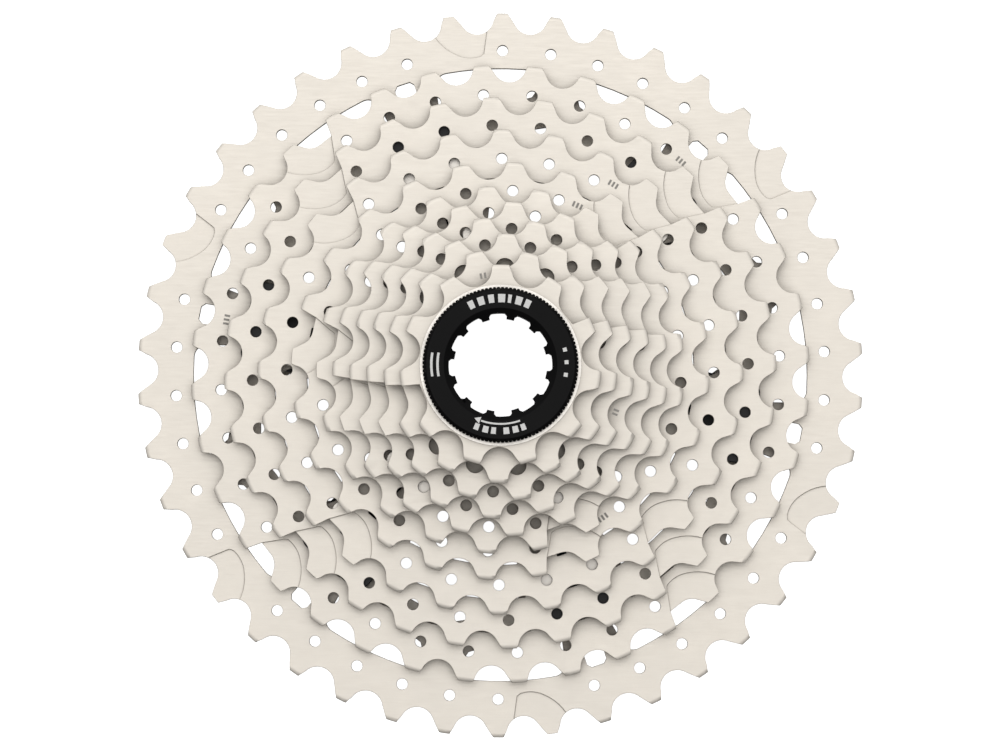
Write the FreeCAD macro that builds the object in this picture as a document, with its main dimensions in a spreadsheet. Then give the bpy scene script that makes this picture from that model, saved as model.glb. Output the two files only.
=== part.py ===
import FreeCAD, Part
import math
import os
import Sketcher

# Bicycle cassette, eleven sprockets from 42 to 11 teeth, lying on the back of its largest sprocket.
# +Z is the hub axle, pointing from the wheel to the smallest sprocket; the origin is on that axle
# in the plane of the largest sprocket's back face. Millimetres and degrees.

doc = FreeCAD.newDocument("cassette")
sheet = doc.addObject("Spreadsheet::Sheet", "Params")

DRIVING = {
    # chain and sprocket plates
    "chain_pitch": 12.7,
    "thickness": 1.6,
    "spacing": 3.74,
    # tooth form: roller seat, flanks and tip, measured from the pitch circle
    "seat_radius": 4.0,
    "seat_lift": 0.115,
    "flank_top": 1.0,
    "slope_start": 4.59,
    "slope_end": 5.4,
    "slope_tip": 5.72,
    "steep_end": 4.64,
    "steep_tip": 4.8,
    "bevel_run": 1.0,
    "bevel_rise": 0.45,
    # shift ramps and relief holes
    "ramp_depth": 0.5,
    "ramp_bend": 11.5,
    "ramp_belly": 7.5,
    "ramp_corner": 3,
    "hole_radius": 1.3,
    "large_hole_radius": 2.1,
    "hole_shift": 0.2,
    # hub spline
    "bore_radius": 17.5,
    "spline_radius": 16.35,
    "groove_half_angle": 13,
    "key_half_angle": 10.5,
    # carriers, their arms and the rivets
    "arm_angle": 48.5,
    "arms": 6,
    "hub_radius": 22.5,
    "rivet_half_angle": 7,
    "rivet_radius": 1.7,
    "rivet_head_radius": 2.6,
    "rivet_head": 0.75,
    "tab_half_width": 3.1,
    "large_rivet_circle": 49.5,
    "small_rivet_circle": 32,
    "large_arm_reach": 61,
    "large_arm_half_width": 9.8,
    "large_waist_half_width": 6.5,
    "small_arm_reach": 36,
    "small_arm_half_width": 7,
    "small_waist_half_width": 5.5,
    "arm_waist_share": 0.62,
    "arm_pad_share": 0.76,
    "arm_corner": 3,
    "hub_edge": 0.6,
    "bore_edge": 0.3,
    # web of the largest sprocket
    "web_inner": 46,
    "window_corner": 2.9,
    "window_outer": 72.7,
    # spacers between the loose sprockets
    "spacer_radius": 21.4,
    "spacer_edge": 0.25,
    "boss_radius": 18.4,
    # lockring and its captive washer
    "flange_radius": 17.75,
    "flange_bevel_radius": 12.9,
    "flange_edge_radius": 16.9,
    "washer_radius": 18.4,
    "washer_thickness": 0.5,
    "washer_clearance": 0.3,
    "serration_depth": 0.15,
    "serration_angle": 3,
    "flange_height": 2.7,
    "flange_rim": 1.7,
    "thread_radius": 15.25,
    "thread_length": 6,
    "thread_depth": 0.6,
    "socket_radius": 10.6,
    "socket_notch_radius": 11.8,
    "notches": 12,
    "notch_half_angle": 10.2,
    "socket_drop": 1.7,
    "socket_depth": 2.5,
    "shank_wall": 2.25,
    "knurls": 120,
    "knurl_depth": 0.4,
    "knurl_half_angle": 1.4,
    "serrations": 60,
}

# teeth, angle of tooth number 0, inner radius of the ring
SPROCKETS = (
    (42, 3.74, "web_inner"),
    (36, 3.3, 61.2),
    (32, 1.7, 53.2),
    (28, -0.6, 45.3),
    (24, 10.8, 38.4),
    (21, 8.3, 28.6),
    (19, 9.3, "bore_radius"),
    (17, 12.1, "bore_radius"),
    (15, 15.0, "bore_radius"),
    (13, 19.5, "bore_radius"),
    (11, 23.7, "bore_radius"),
)

# height of the teeth above the pitch circle
TIP_RISE = {42: 1.0, 36: 0.2, 32: 0.2, 28: 0.2, 24: 0.2, 21: 0.2, 19: 0.3, 17: 0.25, 15: 0.25, 13: 0.25, 11: 0.5}

# distance of the relief holes from the pitch circle
HOLE_DROP = {42: 8.0, 36: 6.85, 32: 6.5, 28: 6.7, 24: 6.5, 21: 6.0, 19: 6.0, 17: 6.0, 15: 7.6}

# how often a sprocket's pattern of ramps and holes repeats, its ramp teeth and its drilled teeth
SECTORS = {42: 6, 36: 4, 32: 4, 28: 4, 24: 3}
RAMP_TEETH = {42: (4,), 36: (4,), 32: (4,), 28: (4,), 24: (3,), 21: (3, 10, 17),
              19: (1, 10), 17: (1, 9), 15: (1, 8), 13: (1, 7), 11: (1, 6)}
PLAIN_FACED = (13, 11)  # too narrow for a recess, these only have the straight tooth edges
DRILLED_TEETH = {42: range(5, 11), 36: range(5, 13), 32: range(5, 12), 28: range(5, 11),
                 24: range(4, 11), 21: (2, 4, 5, 6, 7, 8, 12, 13, 14, 15, 16, 18),
                 19: (0, 2, 3, 4, 5, 6, 7, 11, 12, 13, 14, 15, 16),
                 17: (0, 2, 3, 4, 5, 6, 10, 11, 12, 13, 14), 15: (0, 2, 3, 4, 5, 9, 10, 11, 12)}

# outlines as (height above the pitch circle, distance along it), counted anticlockwise
# from the ramp tooth's middle, or from the middle of the gap before it
RAMP_CLIMB = ((-3.0, 4.4), (-8.2, -0.1), (-9.5, -5.7))
RAMP_END = ((-8.85, -6.8), (-3.9, -8.2), (2.0, -5.2), (2.0, 4.4))
GATE_WALL = ((-8.0, -1.1), (-3.9, -3.4))
GATE_CUT = ((-3.885, 0), (-3.9, -3.4), (-3.6, -3.5), (-0.15, -4.65), (1.5, -5.2), (1.5, 0))
LARGE_SET = (42, 36, 32)
SMALL_SET = (28, 24, 21)
ORDER = [row[0] for row in SPROCKETS]


def fill_sheet():
    """Write the driving dimensions, one aliased cell each."""
    cells = dict(DRIVING)
    for teeth, phase, inner in SPROCKETS:
        cells[f"teeth_{teeth}t"] = teeth
        cells[f"phase_{teeth}t"] = phase
        if not isinstance(inner, str):
            cells[f"inner_{teeth}t"] = inner
    for teeth, drop in HOLE_DROP.items():
        cells[f"drop_{teeth}t"] = drop
    for teeth, rise in TIP_RISE.items():
        cells[f"tip_{teeth}t"] = rise
    for row, (alias, number) in enumerate(cells.items(), start=1):
        sheet.set(f"A{row}", alias)
        sheet.set(f"B{row}", str(number))
        sheet.setAlias(f"B{row}", alias)
    doc.recompute()


fill_sheet()


def cell(alias):
    return f"<<Params>>.{alias}"


def number(expression):
    """Value of an expression over the sheet, as a plain number."""
    found = sheet.evalExpression(str(expression))
    return float(getattr(found, "Value", found))


def polar(radius, angle):
    """Sketch point at a radius and an angle in degrees, both expressions."""
    return f"({radius}) * cos(({angle}) * 1 deg)", f"({radius}) * sin(({angle}) * 1 deg)"


def pitch_radius(teeth):
    return f"{cell('chain_pitch')} / 2 / sin(180 deg / {cell(f'teeth_{teeth}t')})"


def along_pitch(teeth, outline, turn="0"):
    """Sketch points of an outline given from the pitch circle, turned about the axle."""
    middle = pitch_radius(teeth)
    places = []
    for height, along in outline:
        x, y = f"({middle} + {height})", f"({along})"
        places.append((f"{x} * cos({turn}) - {y} * sin({turn})", f"{x} * sin({turn}) + {y} * cos({turn})"))
    return places


def tooth_angle(teeth, index):
    return f"{cell(f'phase_{teeth}t')} + 360 * ({index}) / {cell(f'teeth_{teeth}t')}"


def level(index):
    return f"{cell('spacing')} * {index}"


def new_body(label, height="0"):
    """Empty body with its own label, standing at a height above the origin."""
    body = doc.addObject("PartDesign::Body", label)
    body.Label = label
    body.setExpression("Placement.Base.z", height)
    return body


def origin(body, role):
    return next(item for item in body.Origin.OriginFeatures if item.Role == role)


def new_sketch(body, name, role="XY_Plane", turn="0", lift="0"):
    """Sketch on an origin plane, turned about its normal and lifted along it."""
    sketch = body.newObject("Sketcher::SketchObject", f"{body.Label}_{name}")
    sketch.AttachmentSupport = [(origin(body, role), "")]
    sketch.MapMode = "FlatFace"
    sketch.setExpression("AttachmentOffset.Rotation.Angle", f"({turn}) * 1 deg")
    sketch.setExpression("AttachmentOffset.Base.z", lift)
    return sketch


def arc_between(start, end, radius):
    """Arc shorter than a half turn; a positive radius turns left from start to end."""
    chord = end - start
    left = FreeCAD.Vector(-chord.y, chord.x, 0).normalize()
    half = chord.Length / 2
    rise = abs(radius) - math.sqrt(max(radius * radius - half * half, 0))
    side = -1 if radius > 0 else 1
    return Part.Arc(start, start + chord / 2 + left * rise * side, end)


def pin_coordinate(sketch, kind, geo, point, expression):
    sketch.addConstraint(Sketcher.Constraint(kind, -1, 1, geo, point, number(expression)))
    sketch.setExpression(f"Constraints[{sketch.ConstraintCount - 1}]", expression)


def draw_loop(sketch, points, bends=None):
    """Closed outline through points; bends maps a point's number to the arc that leaves it."""
    bends = bends or {}
    places = [FreeCAD.Vector(number(x), number(y), 0) for x, y in points]
    first = sketch.GeometryCount
    count = len(points)
    for index, start in enumerate(places):
        end = places[(index + 1) % count]
        if index in bends:
            edge = arc_between(start, end, number(bends[index]))
        else:
            edge = Part.LineSegment(start, end)
        sketch.addGeometry(edge, False)
    for index in range(count):
        geo = first + index
        ahead = first + (index + 1) % count
        starts = 1 if index not in bends or number(bends[index]) > 0 else 2
        ends = 3 - starts
        ahead_index = (index + 1) % count
        ahead_starts = 1 if ahead_index not in bends or number(bends[ahead_index]) > 0 else 2
        sketch.addConstraint(Sketcher.Constraint("Coincident", geo, ends, ahead, ahead_starts))
        pin_coordinate(sketch, "DistanceX", geo, starts, points[index][0])
        pin_coordinate(sketch, "DistanceY", geo, starts, points[index][1])
        if index in bends:
            radius = abs(number(bends[index]))
            sketch.addConstraint(Sketcher.Constraint("Radius", geo, radius))
            sketch.setExpression(f"Constraints[{sketch.ConstraintCount - 1}]", f"abs({bends[index]})")


def draw_circle(sketch, centre, radius):
    place = FreeCAD.Vector(number(centre[0]), number(centre[1]), 0)
    geo = sketch.addGeometry(Part.Circle(place, FreeCAD.Vector(0, 0, 1), number(radius)), False)
    sketch.addConstraint(Sketcher.Constraint("Radius", geo, number(radius)))
    sketch.setExpression(f"Constraints[{sketch.ConstraintCount - 1}]", radius)
    pin_coordinate(sketch, "DistanceX", geo, 3, centre[0])
    pin_coordinate(sketch, "DistanceY", geo, 3, centre[1])


def settle(feature, volume_sign, before):
    """Recompute a feature and make sure that it added or removed material."""
    doc.recompute()
    change = (feature.Shape.Volume - before) * volume_sign
    if change <= 0:
        raise RuntimeError(f"{feature.Name} changed the volume by {change * volume_sign:.3f}")
    return feature


def volume_of(body):
    return body.Shape.Volume if body.Tip else 0.0


def revolve(body, name, points, bends=None):
    """Full turn about Z of a section given as radius and height."""
    sketch = new_sketch(body, f"{name}_section", "XZ_Plane")
    draw_loop(sketch, points, bends)
    before = volume_of(body)
    feature = body.newObject("PartDesign::Revolution", f"{body.Label}_{name}")
    feature.Profile = sketch
    feature.ReferenceAxis = (origin(body, "Z_Axis"), [""])
    feature.Angle = 360
    return settle(feature, 1, before)


def pad(body, name, sketch, length):
    """Pad a sketch upwards."""
    before = volume_of(body)
    feature = body.newObject("PartDesign::Pad", f"{body.Label}_{name}")
    feature.Profile = sketch
    feature.setExpression("Length", length)
    return settle(feature, 1, before)


def pocket(body, name, sketch, depth=None):
    """Pocket a sketch downwards, right through when it has no depth."""
    before = volume_of(body)
    feature = body.newObject("PartDesign::Pocket", f"{body.Label}_{name}")
    feature.Profile = sketch
    if depth is None:
        feature.Type = "ThroughAll"
    else:
        feature.setExpression("Length", depth)
    feature.Refine = False
    return settle(feature, -1, before)


def repeat(body, features, count, angle="360"):
    """Polar pattern of features about Z; it becomes the body's tip."""
    before = volume_of(body)
    pattern = body.newObject("PartDesign::PolarPattern", f"{features[0].Name}_pattern")
    pattern.Originals = features
    pattern.Axis = (origin(body, "Z_Axis"), [""])
    pattern.setExpression("Angle", f"({angle}) * 1 deg")
    pattern.setExpression("Occurrences", count)
    body.Tip = pattern
    adds = 1 if features[0].TypeId == "PartDesign::Pad" else -1
    pattern.Refine = adds > 0
    return settle(pattern, adds, before)


# ---------------------------------------------------------------- sprockets

def plate_blank(body, teeth, inner):
    """Plate with both rim edges bevelled; the smallest carries its own spacer boss."""
    tip = f"{pitch_radius(teeth)} + {cell(f'tip_{teeth}t')}"
    bevel = f"{tip} - {cell('bevel_run')}"
    rise = cell("bevel_rise")
    thick = cell("thickness")
    points = [(bevel, "0"), (tip, rise), (tip, f"{thick} - {rise}"), (bevel, thick), (inner, thick)]
    if teeth == ORDER[-1]:
        boss = f"{thick} - {cell('spacing')}"
        points += [(inner, boss), (cell("boss_radius"), boss), (cell("boss_radius"), "0")]
    else:
        points += [(inner, "0")]
    revolve(body, "blank", points)


def tooth_gap(body, teeth):
    """Roller seat between two teeth, with one sloped and one steep flank."""
    middle = pitch_radius(teeth)
    seat = cell("seat_radius")
    lift = cell("seat_lift")
    top = f"{middle} + {cell('flank_top')}"
    outside = f"{top} + 2"
    slope_seat = (f"{middle} + {lift} - {seat} * cos(60 deg)", f"{seat} * sin(60 deg)")
    steep_seat = (f"{middle} + {lift} - {seat} * cos(75 deg)", f"-{seat} * sin(75 deg)")
    bottom = (f"{middle} + {lift} - {seat}", "0")
    points = [
        slope_seat, bottom, steep_seat,
        (f"{middle} + 0.5 * {cell('flank_top')}", f"-{cell('steep_end')}"),
        (top, f"-{cell('steep_tip')}"),
        (outside, f"-{cell('steep_tip')}"),
        (outside, cell("slope_tip")),
        (top, cell("slope_tip")),
        (f"{middle} + 0.6 * {cell('flank_top')}", cell("slope_end")),
        (f"{middle} - 0.4 * {cell('flank_top')}", cell("slope_start")),
    ]
    sketch = new_sketch(body, "gap", turn=tooth_angle(teeth, 0.5), lift=cell("thickness"))
    draw_loop(sketch, points, {0: seat, 1: seat})
    repeat(body, [pocket(body, "gap_cut", sketch)], cell(f"teeth_{teeth}t"))


def spread(body, teeth, name, sketch_teeth, make):
    """Make a feature at each listed tooth and repeat it over the sprocket's sectors."""
    features = [make(body, teeth, f"{name}_{index}", index) for index in sketch_teeth]
    if SECTORS.get(teeth, 1) > 1:
        repeat(body, features, str(SECTORS[teeth]))


def gate(body, teeth, name, index):
    """The gap before a ramp tooth is opened into the tooth that follows it, up to a straight wall."""
    sketch = new_sketch(body, name, turn=tooth_angle(teeth, index - 0.5), lift=cell("thickness"))
    draw_loop(sketch, along_pitch(teeth, GATE_CUT))
    return pocket(body, f"{name}_cut", sketch)


def ramp(body, teeth, name, index):
    """Shallow recess in the front face that lets the chain climb at a ramp tooth."""
    climb = along_pitch(teeth, RAMP_CLIMB)
    end = along_pitch(teeth, RAMP_END)
    if teeth != ORDER[0]:
        half_step = f"180 deg / {cell(f'teeth_{teeth}t')}"
        end = along_pitch(teeth, GATE_WALL, f"-{half_step}") + end[2:]
    sketch = new_sketch(body, name, turn=tooth_angle(teeth, index), lift=cell("thickness"))
    draw_loop(sketch, climb + end, {0: cell("ramp_bend"), 1: cell("ramp_belly"), 2: cell("ramp_corner")})
    return pocket(body, f"{name}_cut", sketch, cell("ramp_depth"))


def relief_holes(body, teeth):
    """Round holes under the teeth that carry no ramp."""
    size = cell("large_hole_radius") if teeth == 15 else cell("hole_radius")
    circle = f"{pitch_radius(teeth)} - {cell(f'drop_{teeth}t')}"
    shift = f"asin({cell('hole_shift')} / ({circle})) / 1 deg"
    sketch = new_sketch(body, "holes", turn=shift, lift=cell("thickness"))
    for index in DRILLED_TEETH[teeth]:
        draw_circle(sketch, polar(circle, tooth_angle(teeth, index)), size)
    holes = pocket(body, "holes_cut", sketch)
    if SECTORS.get(teeth, 1) > 1:
        repeat(body, [holes], str(SECTORS[teeth]))


def spline_bore(body, lift):
    """Nine grooves between the spline teeth; the last is narrower, which keys the position."""
    inside = f"{cell('spline_radius')} - 2"
    for name, half, middle in (("groove", "groove_half_angle", "20"), ("key_groove", "key_half_angle", "340")):
        points = [polar(inside, f"-{cell(half)}"), polar(cell("bore_radius"), f"-{cell(half)}"),
                  polar(cell("bore_radius"), cell(half)), polar(inside, cell(half))]
        sketch = new_sketch(body, name, turn=middle, lift=lift)
        draw_loop(sketch, points, {1: cell("bore_radius")})
        cut = pocket(body, f"{name}_cut", sketch)
        if name == "groove":
            repeat(body, [cut], "8", "280")


def rivet_points(circle):
    """The two rivet places of the first arm."""
    return [polar(circle, f"{side} * {cell('rivet_half_angle')}") for side in (-1, 1)]


def rivet_holes(body, circle, radius, name="rivet_holes", depth=None, lift=None):
    sketch = new_sketch(body, name, turn=cell("arm_angle"), lift=lift or cell("thickness"))
    for place in rivet_points(circle):
        draw_circle(sketch, place, radius)
    repeat(body, [pocket(body, f"{name}_cut", sketch, depth)], cell("arms"))


def carrier_tabs(body, teeth, circle):
    """Pairs of tabs that reach inwards from the ring to the rivets of each arm."""
    inner = cell(f"inner_{teeth}t")
    foot = f"{circle} - {cell('tab_half_width')} * 1.1"
    half = f"asin({cell('tab_half_width')} / ({circle})) / 1 deg"
    flare = f"asin({cell('tab_half_width')} * 1.7 / ({inner})) / 1 deg"
    middle = cell("rivet_half_angle")
    root = f"{inner} + 1"
    points = [polar(foot, f"{middle} - {half}"), polar(circle, f"{middle} - {half}"),
              polar(root, f"{middle} - {half}"), polar(root, f"{middle} + {flare}"),
              polar(circle, f"{middle} + {half}"), polar(foot, f"{middle} + {half} * 0.8")]
    mirrored = [(x, f"-({y})") for x, y in reversed(points)]
    sketch = new_sketch(body, "tabs", turn=cell("arm_angle"))
    draw_loop(sketch, points)
    draw_loop(sketch, mirrored)
    repeat(body, [pad(body, "tabs_pad", sketch, cell("thickness"))], cell("arms"))


def web_windows(body):
    """Openings of the largest sprocket, which leave single and double legs between them."""
    outer = cell("window_outer")
    side = [polar(f"{outer} - 2.6", "5.9"), polar(outer, "8.4"), polar(outer, "25.6"),
            polar(f"{outer} - 1.6", "27"), polar(f"{outer} - 6.4", "25"), polar(f"{outer} - 9.6", "16"),
            polar(f"{outer} - 10.3", "7"), polar(f"{outer} - 9.2", "5.4")]
    other = [(x, f"-({y})") for x, y in reversed(side)]
    slot = [polar(f"{outer} - 0.9", "-1.9"), polar(f"{outer} - 10", "-2.2"), polar(f"{outer} - 10", "2.2"),
            polar(f"{outer} - 0.9", "1.9"), polar(outer, "1.2"), polar(outer, "-1.2")]
    sketch = new_sketch(body, "windows", turn=cell("arm_angle"), lift=cell("thickness"))
    corner = cell("window_corner")
    draw_loop(sketch, side, {0: corner, 1: outer, 2: corner})
    draw_loop(sketch, other, {4: corner, 5: outer, 6: corner})
    draw_loop(sketch, slot)
    repeat(body, [pocket(body, "windows_cut", sketch)], cell("arms"))

    inner = cell("web_inner")
    bay = [polar(f"{inner} - 2", "-19"), polar(f"{inner} - 2", "19"), polar(f"{inner} + 4", "18.5"),
           polar(f"{inner} + 11", "13.5"), polar(f"{inner} + 12.2", "5.5"), polar(f"{inner} + 14", "0"),
           polar(f"{inner} + 12.2", "-5.5"), polar(f"{inner} + 11", "-13.5"), polar(f"{inner} + 4", "-18.5")]
    sketch = new_sketch(body, "bays", turn=f"{cell('arm_angle')} - 30", lift=cell("thickness"))
    draw_loop(sketch, bay)
    repeat(body, [pocket(body, "bays_cut", sketch)], cell("arms"))


def make_sprocket(teeth, inner):
    """One sprocket, from its bevelled blank to its bore or its rivet tabs."""
    index = ORDER.index(teeth)
    label = f"sprocket_{teeth}t"
    body = new_body(label, level(index))
    loose = teeth not in LARGE_SET + SMALL_SET
    inside = cell("spline_radius") if loose else cell(inner if isinstance(inner, str) else f"inner_{teeth}t")
    plate_blank(body, teeth, inside)
    circle = cell("large_rivet_circle") if teeth in LARGE_SET else cell("small_rivet_circle")
    if loose:
        spline_bore(body, cell("thickness"))
    else:
        if teeth == ORDER[0]:
            web_windows(body)
        elif teeth != SMALL_SET[-1]:
            carrier_tabs(body, teeth, circle)
        rivet_holes(body, circle, cell("rivet_radius"))
        if teeth == ORDER[0]:
            rivet_holes(body, circle, cell("rivet_head_radius"), "rivet_sinks", lift=cell("rivet_head"))
    if teeth in DRILLED_TEETH:
        relief_holes(body, teeth)
    tooth_gap(body, teeth)
    if teeth in RAMP_TEETH:
        if teeth != ORDER[0]:
            spread(body, teeth, "gate", RAMP_TEETH[teeth], gate)
        if teeth not in PLAIN_FACED:
            spread(body, teeth, "ramp", RAMP_TEETH[teeth], ramp)
    return body


# ---------------------------------------------------------------- carriers and rivets

def make_carrier(label, base, arm_from, reach, half_width, waist, circle):
    """Splined hub with six arms; heights are in sprocket spacings."""
    body = new_body(label, level(base))
    hub_top = level(3)
    arm_low = f"{level(arm_from - base)} + {cell('thickness')}"
    hub = cell("hub_radius")
    bore = cell("spline_radius")
    edge = cell("hub_edge")
    mouth = cell("bore_edge")
    points = [(f"{bore} + {mouth}", "0"), (f"{hub} - {edge}", "0"), (hub, edge), (hub, f"{hub_top} - {edge}"),
              (f"{hub} - {edge}", hub_top), (f"{bore} + {mouth}", hub_top), (bore, f"{hub_top} - {mouth}"),
              (bore, mouth)]
    revolve(body, "hub", points)
    narrow = f"{reach} * {cell('arm_waist_share')}"
    wide = f"{reach} * {cell('arm_pad_share')}"
    corner = cell("arm_corner")
    side = [(f"{reach} - {corner}", half_width), (wide, half_width), (narrow, waist),
            (f"{hub} - 2", f"{waist} + 1")]
    other = [(x, f"-({y})") for x, y in reversed(side)]
    arm = other + [(reach, f"-({half_width} - {corner})"), (reach, f"{half_width} - {corner}")] + side
    sketch = new_sketch(body, "arm", turn=cell("arm_angle"), lift=arm_low)
    draw_loop(sketch, arm, {3: corner, 5: corner})
    gap = f"{cell('spacing')} - {cell('thickness')}"
    repeat(body, [pad(body, "arm_pad", sketch, gap)], cell("arms"))
    rivet_holes(body, circle, cell("rivet_radius"), lift=f"{arm_low} + {gap}")
    spline_bore(body, hub_top)
    return body


def make_rivets(label, base, last, circle, back_sunk):
    """Twelve rivets through three sprockets and the carrier arms."""
    body = new_body(label, level(base))
    top = f"{level(last - base)} + {cell('thickness')}"
    head = cell("rivet_head")
    stages = [("shank", "rivet_radius", "0", top), ("front_head", "rivet_head_radius", top, head)]
    back = "0" if back_sunk else f"-{head}"
    stages.append(("back_head", "rivet_head_radius", back, head))
    for name, size, low, length in stages:
        sketch = new_sketch(body, name, turn=cell("arm_angle"), lift=low)
        for place in rivet_points(circle):
            draw_circle(sketch, place, cell(size))
        pad(body, f"{name}_pad", sketch, length)
    repeat(body, [doc.getObject(f"{label}_{stage[0]}_pad") for stage in stages], cell("arms"))
    return body


def make_rivet_spacers(label, below, circle):
    """Twelve short tubes on the rivets, between two sprockets."""
    body = new_body(label, f"{level(below)} + {cell('thickness')}")
    sketch = new_sketch(body, "rings", turn=cell("arm_angle"))
    for place in rivet_points(circle):
        draw_circle(sketch, place, cell("tab_half_width"))
        draw_circle(sketch, place, cell("rivet_radius"))
    gap = f"{cell('spacing')} - {cell('thickness')}"
    repeat(body, [pad(body, "rings_pad", sketch, gap)], cell("arms"))
    return body


def make_spacer(label, below):
    """Splined spacer ring between two loose sprockets."""
    body = new_body(label, f"{level(below)} + {cell('thickness')}")
    gap = f"{cell('spacing')} - {cell('thickness')}"
    outer = cell("spacer_radius")
    edge = cell("spacer_edge")
    points = [(cell("spline_radius"), "0"), (f"{outer} - {edge}", "0"), (outer, edge),
              (outer, f"{gap} - {edge}"), (f"{outer} - {edge}", gap), (cell("spline_radius"), gap)]
    revolve(body, "ring", points)
    spline_bore(body, gap)
    return body


# ---------------------------------------------------------------- lockring

def make_washer():
    """Thin captive washer whose front is cut with fine radial serrations."""
    body = new_body("lockring_washer", f"{level(len(ORDER) - 1)} + {cell('thickness')}")
    inner = f"{cell('thread_radius')} + {cell('washer_clearance')}"
    outer = cell("washer_radius")
    thick = cell("washer_thickness")
    revolve(body, "ring", [(inner, "0"), (outer, "0"), (outer, thick), (inner, thick)])
    sketch = new_sketch(body, "serration", "XZ_Plane")
    depth = cell("serration_depth")
    draw_loop(sketch, [(inner, f"{thick} - {depth}"), (f"{outer} + 0.5", f"{thick} - {depth}"),
                       (f"{outer} + 0.5", f"{thick} + {depth}"), (inner, f"{thick} + {depth}")])
    cut = body.newObject("PartDesign::Groove", "lockring_washer_serration_cut")
    cut.Profile = sketch
    cut.ReferenceAxis = (origin(body, "Z_Axis"), [""])
    cut.setExpression("Angle", f"{cell('serration_angle')} * 1 deg")
    before = body.Shape.Volume
    settle(cut, -1, before)
    repeat(body, [cut], cell("serrations"))
    return body


def make_lockring():
    """Threaded lockring with a dished face, a knurled rim and a notched tool socket."""
    height = f"{level(len(ORDER) - 1)} + {cell('thickness')} + {cell('washer_thickness')}"
    body = new_body("lockring", height)
    rim = cell("flange_radius")
    top = cell("flange_height")
    ledge = cell("flange_rim")
    lip = cell("flange_bevel_radius")
    socket = cell("socket_radius")
    shank = cell("thread_radius")
    end = f"-{cell('thread_length')} - {cell('washer_thickness')}"
    wall = f"{shank} - {cell('shank_wall')}"
    seat = f"{top} - {cell('socket_drop')}"
    floor = f"{seat} - {cell('socket_depth')}"
    points = [
        (shank, "0"), (f"{rim} - 0.2", "0"), (rim, "0.2"), (rim, ledge), (cell("flange_edge_radius"), top),
        (lip, top), (socket, seat), (socket, floor), (wall, f"{floor} - 0.3"),
        (wall, end), (f"{shank} - 0.5", end), (shank, f"{end} + 0.5"),
    ]
    revolve(body, "turned", points)
    half = cell("notch_half_angle")
    deep = cell("socket_notch_radius")
    sketch = new_sketch(body, "notch", turn="3", lift=top)
    draw_loop(sketch, [polar(f"{socket} - 2", f"-{half} * 1.1"), polar(f"{deep} - 0.5", f"-{half}"),
                       polar(deep, f"-{half} * 0.75"), polar(deep, f"{half} * 0.75"),
                       polar(f"{deep} - 0.5", half), polar(f"{socket} - 2", f"{half} * 1.1")], {2: deep})
    repeat(body, [pocket(body, "notch_cut", sketch)], cell("notches"))
    sketch = new_sketch(body, "knurl", lift=top)
    depth = cell("knurl_depth")
    half = cell("knurl_half_angle")
    draw_loop(sketch, [polar(f"{rim} - {depth}", "0"), polar(f"{rim} + {depth}", half),
                       polar(f"{rim} + {depth}", f"-{half}")])
    repeat(body, [pocket(body, "knurl_cut", sketch)], cell("knurls"))
    return body


def groove_thread(body):
    """Ring grooves at the thread pitch, which stand for the lockring's thread."""
    pitch = 25.4 / 24
    shank = cell("thread_radius")
    depth = cell("thread_depth")
    turns = int(number(cell("thread_length")) / pitch) - 1
    for turn in range(turns):
        low = f"-{cell('washer_thickness')} - {cell('thread_length')} + {0.6 + turn * pitch}"
        sketch = new_sketch(body, f"thread_{turn}", "XZ_Plane")
        draw_loop(sketch, [(f"{shank} - {depth}", f"{low} + {pitch / 2}"), (f"{shank} + 0.1", low),
                           (f"{shank} + 0.1", f"{low} + {pitch}")])
        before = body.Shape.Volume
        cut = body.newObject("PartDesign::Groove", f"{body.Label}_thread_{turn}_cut")
        cut.Profile = sketch
        cut.ReferenceAxis = (origin(body, "Z_Axis"), [""])
        cut.Angle = 360
        settle(cut, -1, before)


# ---------------------------------------------------------------- build and write

def build():
    parts = [make_sprocket(teeth, inner) for teeth, _, inner in SPROCKETS]
    large = (cell("large_arm_reach"), cell("large_arm_half_width"), cell("large_waist_half_width"),
             cell("large_rivet_circle"))
    small = (cell("small_arm_reach"), cell("small_arm_half_width"), cell("small_waist_half_width"),
             cell("small_rivet_circle"))
    parts.append(make_carrier("large_carrier", 0, 1, *large))
    parts.append(make_carrier("small_carrier", 3, 3, *small))
    parts.append(make_rivets("large_rivets", 0, 2, large[3], True))
    parts.append(make_rivets("small_rivets", 3, 5, small[3], False))
    parts.append(make_rivet_spacers("large_rivet_spacers", 0, large[3]))
    parts.append(make_rivet_spacers("small_rivet_spacers", 4, small[3]))
    for below, label in ((6, "spacer_19_17"), (7, "spacer_17_15"), (8, "spacer_15_13")):
        parts.append(make_spacer(label, below))
    parts.append(make_washer())
    lockring = make_lockring()
    groove_thread(lockring)
    parts.append(lockring)
    return parts


def check_and_write(parts):
    doc.recompute()
    for item in doc.Objects:
        if "Invalid" in item.State or "Error" in item.State:
            raise RuntimeError(f"{item.Label} is {item.State}")
    os.makedirs("parts", exist_ok=True)
    for part in parts:
        if part.Shape.isNull() or not part.Shape.isValid():
            raise RuntimeError(f"{part.Label} has no valid shape")
        box = part.Shape.BoundBox
        print(f"{part.Label}: {len(part.Shape.Solids)} solid(s), {part.Shape.Volume:.1f} mm3, "
              f"z {box.ZMin:.2f} to {box.ZMax:.2f}, radius {box.XMax:.2f}")
        part.Shape.exportStep(f"parts/{part.Label}.step")


check_and_write(build())
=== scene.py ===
"""Looks of the bicycle cassette: finished pieces on the CAD frame, a white floor and soft light."""

import bmesh
import bpy
import math
from mathutils import Matrix, Vector


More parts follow.
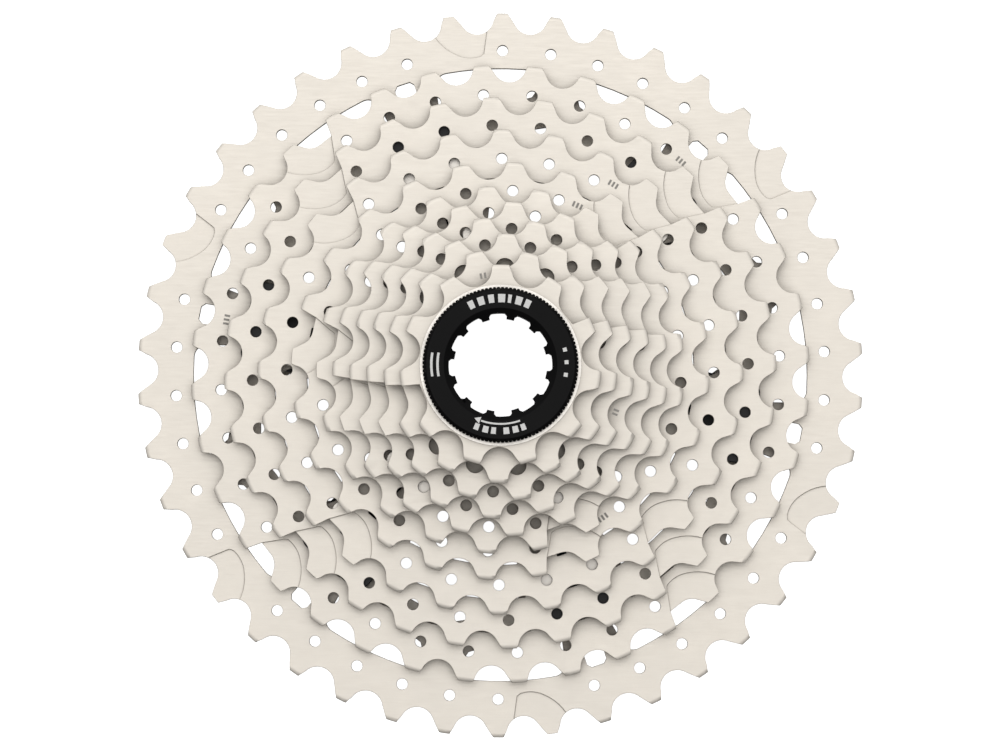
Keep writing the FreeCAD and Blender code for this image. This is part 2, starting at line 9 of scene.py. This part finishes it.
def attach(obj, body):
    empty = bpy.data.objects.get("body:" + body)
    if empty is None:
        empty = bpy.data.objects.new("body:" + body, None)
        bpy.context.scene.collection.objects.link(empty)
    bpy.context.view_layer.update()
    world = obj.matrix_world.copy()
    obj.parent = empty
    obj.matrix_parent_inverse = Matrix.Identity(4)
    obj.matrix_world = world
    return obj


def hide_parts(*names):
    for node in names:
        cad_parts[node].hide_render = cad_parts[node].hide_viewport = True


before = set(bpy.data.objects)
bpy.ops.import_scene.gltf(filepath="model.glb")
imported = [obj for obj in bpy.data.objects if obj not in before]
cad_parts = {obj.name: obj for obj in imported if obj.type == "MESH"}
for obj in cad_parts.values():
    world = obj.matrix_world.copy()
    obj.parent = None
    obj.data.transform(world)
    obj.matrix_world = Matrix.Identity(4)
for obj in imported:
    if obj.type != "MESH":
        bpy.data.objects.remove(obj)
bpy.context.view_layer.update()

MM = 0.001
SPROCKETS = (42, 36, 32, 28, 24, 21, 19, 17, 15, 13, 11)
CLUSTERS = {42: "large_cluster", 36: "large_cluster", 32: "large_cluster",
            28: "small_cluster", 24: "small_cluster", 21: "small_cluster"}

CAMERA_TARGET = Vector((-0.085, -0.32, 1.6)) * MM
CAMERA_DISTANCE = 0.95
CAMERA_LEAN_X = math.radians(0.04)
CAMERA_LEAN_Y = math.radians(2.93)
SENSOR_WIDTH = 36
FOCAL_LENGTH = 144.3

FLOOR_HALF_SIZE = 4.0
FLOOR_HEIGHT = -0.15 * MM
LIGHT_LEAN = math.radians(24)       # the room is brightest this far from straight up, towards +Y
ROOM_LEVELS = ((0.0, 0.16), (0.3, 0.05), (0.5, 0.14), (0.7, 0.42), (0.86, 0.9), (0.95, 1.38), (1.0, 1.45))

# painted shade: dark colour that ambient occlusion mixes into the nickel's base colour in holes, recesses
# and under edges
PAINTED_SHADE_COLOUR = (0.12, 0.105, 0.09)
# how far the ambient occlusion looks when it paints that shade
PAINTED_SHADE_REACH = 5.0 * MM
MARK_HEIGHT = 0.02 * MM
WELD = 0.0005 * MM                  # vertices closer than this are one
FLAT = math.radians(0.4)            # faces closer to level than this are joined


# ---------------------------------------------------------------- camera, floor and light

def make_camera():
    """Long lens, nearly square on to the face of the cassette and a little below its axle."""
    back = Vector((-math.tan(CAMERA_LEAN_X), -math.tan(CAMERA_LEAN_Y), 1)).normalized()
    data = bpy.data.cameras.new("camera")
    data.sensor_width = SENSOR_WIDTH
    data.lens = FOCAL_LENGTH
    data.clip_start, data.clip_end = 0.05, 20
    camera = bpy.data.objects.new("camera", data)
    bpy.context.collection.objects.link(camera)
    right = Vector((0, 1, 0)).cross(back).normalized()
    up = back.cross(right)
    turn = Matrix((right, up, back)).transposed().to_4x4()
    camera.matrix_world = Matrix.Translation(CAMERA_TARGET + back * CAMERA_DISTANCE) @ turn
    bpy.context.scene.camera = camera


def make_floor():
    """White floor that glows a little, so that it stays white under the object; it lights nothing."""
    mesh = bpy.data.meshes.new("floor")
    corners = [(x * FLOOR_HALF_SIZE, y * FLOOR_HALF_SIZE, FLOOR_HEIGHT)
               for x, y in ((-1, -1), (1, -1), (1, 1), (-1, 1))]
    mesh.from_pydata(corners, [], [(0, 1, 2, 3)])
    floor = bpy.data.objects.new("floor", mesh)
    bpy.context.collection.objects.link(floor)
    material, shader = new_material("floor_white")
    shader.inputs["Base Color"].default_value = (0.8, 0.8, 0.8, 1)
    shader.inputs["Roughness"].default_value = 0.9
    shader.inputs["Emission Color"].default_value = (1, 1, 1, 1)
    shader.inputs["Emission Strength"].default_value = 1.0
    mesh.materials.append(material)
    floor.visible_glossy = False
    floor.visible_diffuse = False


def make_light(name, place, target, size, power, colour):
    """Round area light at a place, aimed at a target."""
    data = bpy.data.lights.new(name, "AREA")
    data.shape = "DISK"
    data.size = size
    data.energy = power
    data.color = colour
    light = bpy.data.objects.new(name, data)
    light.location = place
    light.rotation_euler = (Vector(target) - Vector(place)).to_track_quat("-Z", "Y").to_euler()
    bpy.context.collection.objects.link(light)


def make_world():
    """Soft room: brightest above and behind the top of the object, dark on the opposite side."""
    world = bpy.data.worlds.new("studio")
    bpy.context.scene.world = world
    world.use_nodes = True
    nodes, links = world.node_tree.nodes, world.node_tree.links
    background = nodes["Background"]
    place = nodes.new("ShaderNodeTexCoord")
    along = nodes.new("ShaderNodeVectorMath")
    along.operation = "DOT_PRODUCT"
    along.inputs[1].default_value = (0.0, math.sin(LIGHT_LEAN), math.cos(LIGHT_LEAN))
    ramp = nodes.new("ShaderNodeValToRGB")
    while len(ramp.color_ramp.elements) < len(ROOM_LEVELS):
        ramp.color_ramp.elements.new(0.5)
    for element, (spot, level) in zip(ramp.color_ramp.elements, ROOM_LEVELS):
        element.position = spot
        element.color = (level, level * 0.995, level * 0.985, 1)
    scale = nodes.new("ShaderNodeMath")
    scale.operation = "MULTIPLY_ADD"
    scale.inputs[1].default_value = 0.5
    scale.inputs[2].default_value = 0.5
    links.new(place.outputs["Generated"], along.inputs[0])
    links.new(along.outputs["Value"], scale.inputs[0])
    links.new(scale.outputs[0], ramp.inputs[0])
    links.new(ramp.outputs[0], background.inputs["Color"])
    background.inputs["Strength"].default_value = 1.0


# ---------------------------------------------------------------- materials

def new_material(name):
    material = bpy.data.materials.new(name)
    material.use_nodes = True
    return material, material.node_tree.nodes["Principled BSDF"]


def add(material, kind, **values):
    node = material.node_tree.nodes.new(kind)
    for key, value in values.items():
        if hasattr(node, key):
            setattr(node, key, value)
        else:
            node.inputs[key.replace("_", " ")].default_value = value
    return node


def link(material, source, target):
    material.node_tree.links.new(source, target)


def noise(material, vector, scale, detail=2.0, roughness=0.5):
    node = add(material, "ShaderNodeTexNoise", Scale=scale, Detail=detail, Roughness=roughness)
    link(material, vector, node.inputs["Vector"])
    return node.outputs["Fac"]


def ranged(material, value, low, high, start=0.3, end=0.7):
    """Maps a noise value onto a range."""
    node = add(material, "ShaderNodeMapRange")
    for socket, number in (("From Min", start), ("From Max", end), ("To Min", low), ("To Max", high)):
        node.inputs[socket].default_value = number
    link(material, value, node.inputs["Value"])
    return node.outputs["Result"]


def mixed(material, factor, first, second):
    """Colour mix; each colour is a constant or a socket."""
    node = add(material, "ShaderNodeMix", data_type="RGBA")
    for socket, value in ((node.inputs[0], factor), (node.inputs[6], first), (node.inputs[7], second)):
        if isinstance(value, (tuple, list)):
            socket.default_value = (*value[:3], 1)
        elif isinstance(value, (int, float)):
            socket.default_value = value
        else:
            link(material, value, socket)
    return node.outputs[2]


def combined(material, operation, first, second):
    node = add(material, "ShaderNodeMath", operation=operation)
    for socket, value in zip(node.inputs, (first, second)):
        if isinstance(value, (int, float)):
            socket.default_value = value
        else:
            link(material, value, socket)
    return node.outputs[0]


def stretched(material, vector, scale, turn=0.0):
    node = add(material, "ShaderNodeMapping")
    node.inputs["Scale"].default_value = scale
    node.inputs["Rotation"].default_value = (0, 0, turn)
    link(material, vector, node.inputs["Vector"])
    return node.outputs["Vector"]


def around_axle(material, vector):
    """Coordinates (radius, height, 0) about the axle, for turned surfaces."""
    split = add(material, "ShaderNodeSeparateXYZ")
    link(material, vector, split.inputs[0])
    x, y, z = (split.outputs[i] for i in range(3))
    x_squared = combined(material, "MULTIPLY", x, x)
    y_squared = combined(material, "MULTIPLY", y, y)
    squares = combined(material, "ADD", x_squared, y_squared)
    radius = combined(material, "SQRT", squares, 0.0)
    join = add(material, "ShaderNodeCombineXYZ")
    link(material, radius, join.inputs[0])
    link(material, z, join.inputs[1])
    return join.outputs[0]


def bump(material, shader, height, depth, strength=1.0):
    node = add(material, "ShaderNodeBump")
    node.inputs["Distance"].default_value = depth
    node.inputs["Strength"].default_value = strength
    link(material, height, node.inputs["Height"])
    link(material, node.outputs[0], shader.inputs["Normal"])


def nickel(name, colour, rough, seed_turn):
    """Satin nickel plate: blasted grain, faint tumbling marks, cloudy patches, and painted shade that
    darkens the base colour in holes, recesses and under edges by ambient occlusion.
    """
    material, shader = new_material(name)
    place = add(material, "ShaderNodeTexCoord").outputs["Object"]
    cloud = noise(material, place, 42, 4, 0.55)
    patch = noise(material, stretched(material, place, (1, 1, 1), seed_turn), 210, 3, 0.6)
    grain = noise(material, place, 3800, 2, 0.6)
    marks = noise(material, stretched(material, place, (260, 5200, 900), seed_turn), 1, 2, 0.5)
    dark = tuple(c * 0.86 for c in colour)
    light = tuple(min(c * 1.05, 1) for c in colour)
    base = mixed(material, ranged(material, cloud, 0, 1), dark, light)
    worn = tuple(c * 0.93 for c in colour)
    base = mixed(material, ranged(material, patch, 0, 0.45, 0.35, 0.75), base, worn)
    base = mixed(material, ranged(material, grain, 0, 0.2), base, dark)
    # painted shade: ambient occlusion darkens the base colour where the plate is hemmed in by the sprocket
    # in front or by a hole's walls
    shade = add(material, "ShaderNodeAmbientOcclusion", samples=8, Distance=PAINTED_SHADE_REACH)
    base = mixed(material, ranged(material, shade.outputs["AO"], 0.9, 0, 0.1, 0.8), base, PAINTED_SHADE_COLOUR)
    link(material, base, shader.inputs["Base Color"])
    shader.inputs["Metallic"].default_value = 1.0
    roughness = combined(material, "ADD", ranged(material, cloud, rough - 0.04, rough + 0.05),
                         ranged(material, marks, -0.03, 0.05))
    link(material, roughness, shader.inputs["Roughness"])
    relief = combined(material, "ADD", grain, combined(material, "MULTIPLY", marks, 0.6))
    bump(material, shader, relief, 0.006 * MM)
    return material


def turned_metal(name, colour, metallic, rough, grain_depth, specular=0.5):
    """Turned part: fine rings about the axle over a blasted or anodised skin."""
    material, shader = new_material(name)
    place = add(material, "ShaderNodeTexCoord").outputs["Object"]
    rings = noise(material, stretched(material, around_axle(material, place), (9000, 5000, 1)), 1, 3, 0.6)
    skin = noise(material, place, 5200, 2, 0.6)
    cloud = noise(material, place, 120, 3, 0.5)
    dark = tuple(c * 0.78 for c in colour)
    light = tuple(min(c * 1.2, 1) for c in colour)
    base = mixed(material, ranged(material, cloud, 0, 1), dark, light)
    base = mixed(material, ranged(material, rings, 0, 0.35), base, light)
    link(material, base, shader.inputs["Base Color"])
    shader.inputs["Metallic"].default_value = metallic
    shader.inputs["Specular IOR Level"].default_value = specular
    roughness = combined(material, "ADD", ranged(material, skin, rough - 0.04, rough + 0.05),
                         ranged(material, rings, -0.03, 0.04))
    link(material, roughness, shader.inputs["Roughness"])
    relief = combined(material, "ADD", skin, rings)
    bump(material, shader, relief, grain_depth)
    return material


def printed(name, colour, rough):
    """Pad-printed or etched mark with a slightly broken surface."""
    material, shader = new_material(name)
    place = add(material, "ShaderNodeTexCoord").outputs["Object"]
    fine = noise(material, place, 6000, 2, 0.7)
    base = mixed(material, ranged(material, fine, 0, 1), tuple(c * 0.8 for c in colour), colour)
    link(material, base, shader.inputs["Base Color"])
    link(material, ranged(material, fine, rough - 0.08, rough + 0.08), shader.inputs["Roughness"])
    bump(material, shader, fine, 0.003 * MM)
    return material


# ---------------------------------------------------------------- pieces

def finished(node, body, material, width, angle=32, dissolve=True):
    """Copy of a CAD node with softened edges, which stands for the node."""
    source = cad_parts[node]
    mesh = source.data.copy()
    mesh.name = f"{node}_finished"
    work = bmesh.new()
    work.from_mesh(mesh)
    bmesh.ops.remove_doubles(work, verts=work.verts, dist=WELD)
    if dissolve:
        bmesh.ops.dissolve_limit(work, angle_limit=FLAT, verts=work.verts, edges=work.edges)
    for face in work.faces:
        face.smooth = True
    for edge in work.edges:
        edge.smooth = edge.calc_face_angle(0) < math.radians(angle)
    work.to_mesh(mesh)
    work.free()
    mesh.materials.clear()
    mesh.materials.append(material)
    piece = bpy.data.objects.new(f"{node}_finished", mesh)
    bpy.context.collection.objects.link(piece)
    soften = piece.modifiers.new("soften", "BEVEL")
    soften.limit_method = "ANGLE"
    soften.angle_limit = math.radians(angle)
    soften.width = width
    soften.segments = 2
    soften.use_clamp_overlap = False
    soften.harden_normals = True
    even = piece.modifiers.new("even", "WEIGHTED_NORMAL")
    even.keep_sharp = False
    even.weight = 100
    graph = bpy.context.evaluated_depsgraph_get()
    baked = bpy.data.meshes.new_from_object(piece.evaluated_get(graph))
    piece.modifiers.clear()
    piece.data = baked
    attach(piece, body)
    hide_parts(node)
    return piece


def body_of(teeth):
    return CLUSTERS.get(teeth, f"sprocket_{teeth}t")


def front_of(node):
    """Height of the node's front face."""
    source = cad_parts[node]
    return max((source.matrix_world @ vertex.co).z for vertex in source.data.vertices)


def arc_block(radius, angle, width, height, lean=0.0):
    """Outline of a small block that follows a circle about the axle; angle and lean in degrees."""
    half = math.degrees(width / 2 / radius)
    steps = max(1, round(2 * half / 3))
    inner, outer = radius - height / 2, radius + height / 2
    rim = [(outer, angle - half + 2 * half * i / steps - lean) for i in range(steps + 1)]
    base = [(inner, angle + half - 2 * half * i / steps + lean) for i in range(steps + 1)]
    return [(r * math.cos(math.radians(a)), r * math.sin(math.radians(a))) for r, a in rim + base]


def marks(name, body, height, outlines, material):
    """Thin raised print: every outline becomes a low prism on the face at the given height."""
    points, faces = [], []
    for outline in outlines:
        count, start = len(outline), len(points)
        points += [(x, y, height) for x, y in outline] + [(x, y, height + MARK_HEIGHT) for x, y in outline]
        faces.append([start + i for i in reversed(range(count))])
        faces.append([start + count + i for i in range(count)])
        for i in range(count):
            j = (i + 1) % count
            faces.append([start + i, start + j, start + count + j, start + count + i])
    mesh = bpy.data.meshes.new(name)
    mesh.from_pydata(points, [], faces)
    mesh.materials.append(material)
    piece = bpy.data.objects.new(name, mesh)
    bpy.context.collection.objects.link(piece)
    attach(piece, body)


def lockring_prints():
    """Plain white blocks, dots, bars and an arrow where the lockring is printed."""
    row = [arc_block(r * MM, a, w * MM, 1.9 * MM) for r, a, w in
           ((15.1, 66, 1.3), (15.1, 74, 1.5), (15.1, 82, 0.8), (15.1, 89, 1.6), (15.1, 98, 1.3),
            (15.1, 107, 1.5), (15.1, 116, 1.3))]
    dots = [arc_block(15.0 * MM, a, 0.9 * MM, 0.9 * MM) for a in (-9, 2, 13)]
    bars = [arc_block(r * MM, 180, 5.4 * MM, 0.55 * MM) for r in (14.3, 15.7)]
    lower = [arc_block(15.1 * MM, a, w * MM, 1.5 * MM) for a, w in
             ((-70, 1.1), (-77, 1.3), (-85, 1.3), (-96, 1.1), (-103, 1.3), (-111, 1.1))]
    around = [arc_block(13.5 * MM, -90, 9.0 * MM, 0.4 * MM)]
    tip = [(r * MM * math.cos(math.radians(a)), r * MM * math.sin(math.radians(a)))
           for r, a in ((12.7, -110), (14.3, -110), (13.5, -116))]
    marks("lockring_print", "lockring", front_of("lockring"), row + dots + bars + lower + around + [tip],
          MATERIALS["print"])


ETCHED = ((36, 65.9, 49.6, 3), (36, 65.9, 169, 3), (28, 51.3, 58.9, 3), (24, 42.6, 65, 3),
          (24, 41.8, -55.2, 3), (15, 28.4, -21.5, 2), (11, 20.8, 101, 2))


def sprocket_marks():
    """Small groups of plain ticks etched where the sprockets carry their sizes."""
    for index, (teeth, radius, angle, count) in enumerate(ETCHED):
        step = math.degrees(0.95 / radius)
        ticks = [arc_block(radius * MM, angle + (i - (count - 1) / 2) * step, 0.5 * MM, 1.3 * MM)
                 for i in range(count)]
        marks(f"etched_{index + 1}_{teeth}t", body_of(teeth), front_of(f"sprocket_{teeth}t"), ticks,
              MATERIALS["etch"])


MATERIALS = {}


def make_materials():
    for index, teeth in enumerate(SPROCKETS):
        MATERIALS[teeth] = nickel(f"nickel_{teeth}t", (0.775, 0.73, 0.665), 0.50, 0.7 * index)
    MATERIALS["carrier"] = turned_metal("carrier_black", (0.012, 0.012, 0.013), 0.0, 0.42, 0.004 * MM, 0.25)
    MATERIALS["rivet"] = turned_metal("rivet_steel", (0.6, 0.57, 0.53), 1.0, 0.35, 0.004 * MM)
    MATERIALS["spacer"] = turned_metal("spacer_grey", (0.5, 0.48, 0.45), 1.0, 0.38, 0.004 * MM)
    MATERIALS["washer"] = turned_metal("washer_steel", (0.68, 0.65, 0.61), 1.0, 0.3, 0.003 * MM)
    MATERIALS["lockring"] = turned_metal("lockring_black", (0.003, 0.003, 0.0032), 0.0, 0.42,
                                         0.003 * MM, 0.09)
    MATERIALS["print"] = printed("print_white", (0.75, 0.75, 0.74), 0.5)
    MATERIALS["etch"] = printed("etch_grey", (0.30, 0.285, 0.26), 0.5)


def make_pieces():
    for teeth in SPROCKETS:
        finished(f"sprocket_{teeth}t", body_of(teeth), MATERIALS[teeth], 0.12 * MM)
    for size in ("large", "small"):
        body = f"{size}_cluster"
        finished(f"{size}_carrier", body, MATERIALS["carrier"], 0.2 * MM)
        finished(f"{size}_rivets", body, MATERIALS["rivet"], 0.3 * MM)
        finished(f"{size}_rivet_spacers", body, MATERIALS["spacer"], 0.1 * MM)
    for node in ("spacer_19_17", "spacer_17_15", "spacer_15_13"):
        finished(node, node, MATERIALS["spacer"], 0.1 * MM)
    finished("lockring_washer", "lockring_washer", MATERIALS["washer"], 0.03 * MM, 20, False)
    finished("lockring", "lockring", MATERIALS["lockring"], 0.08 * MM, 20, False)
    lockring_prints()
    sprocket_marks()


# ---------------------------------------------------------------- run

bpy.context.scene.view_settings.view_transform = "Standard"
make_camera()
make_floor()
make_world()
make_light("key", (-0.12, 0.9, 2.6), (0, 0, 0.01), 1.2, 3.0, (1.0, 0.985, 0.96))
make_materials()
make_pieces()
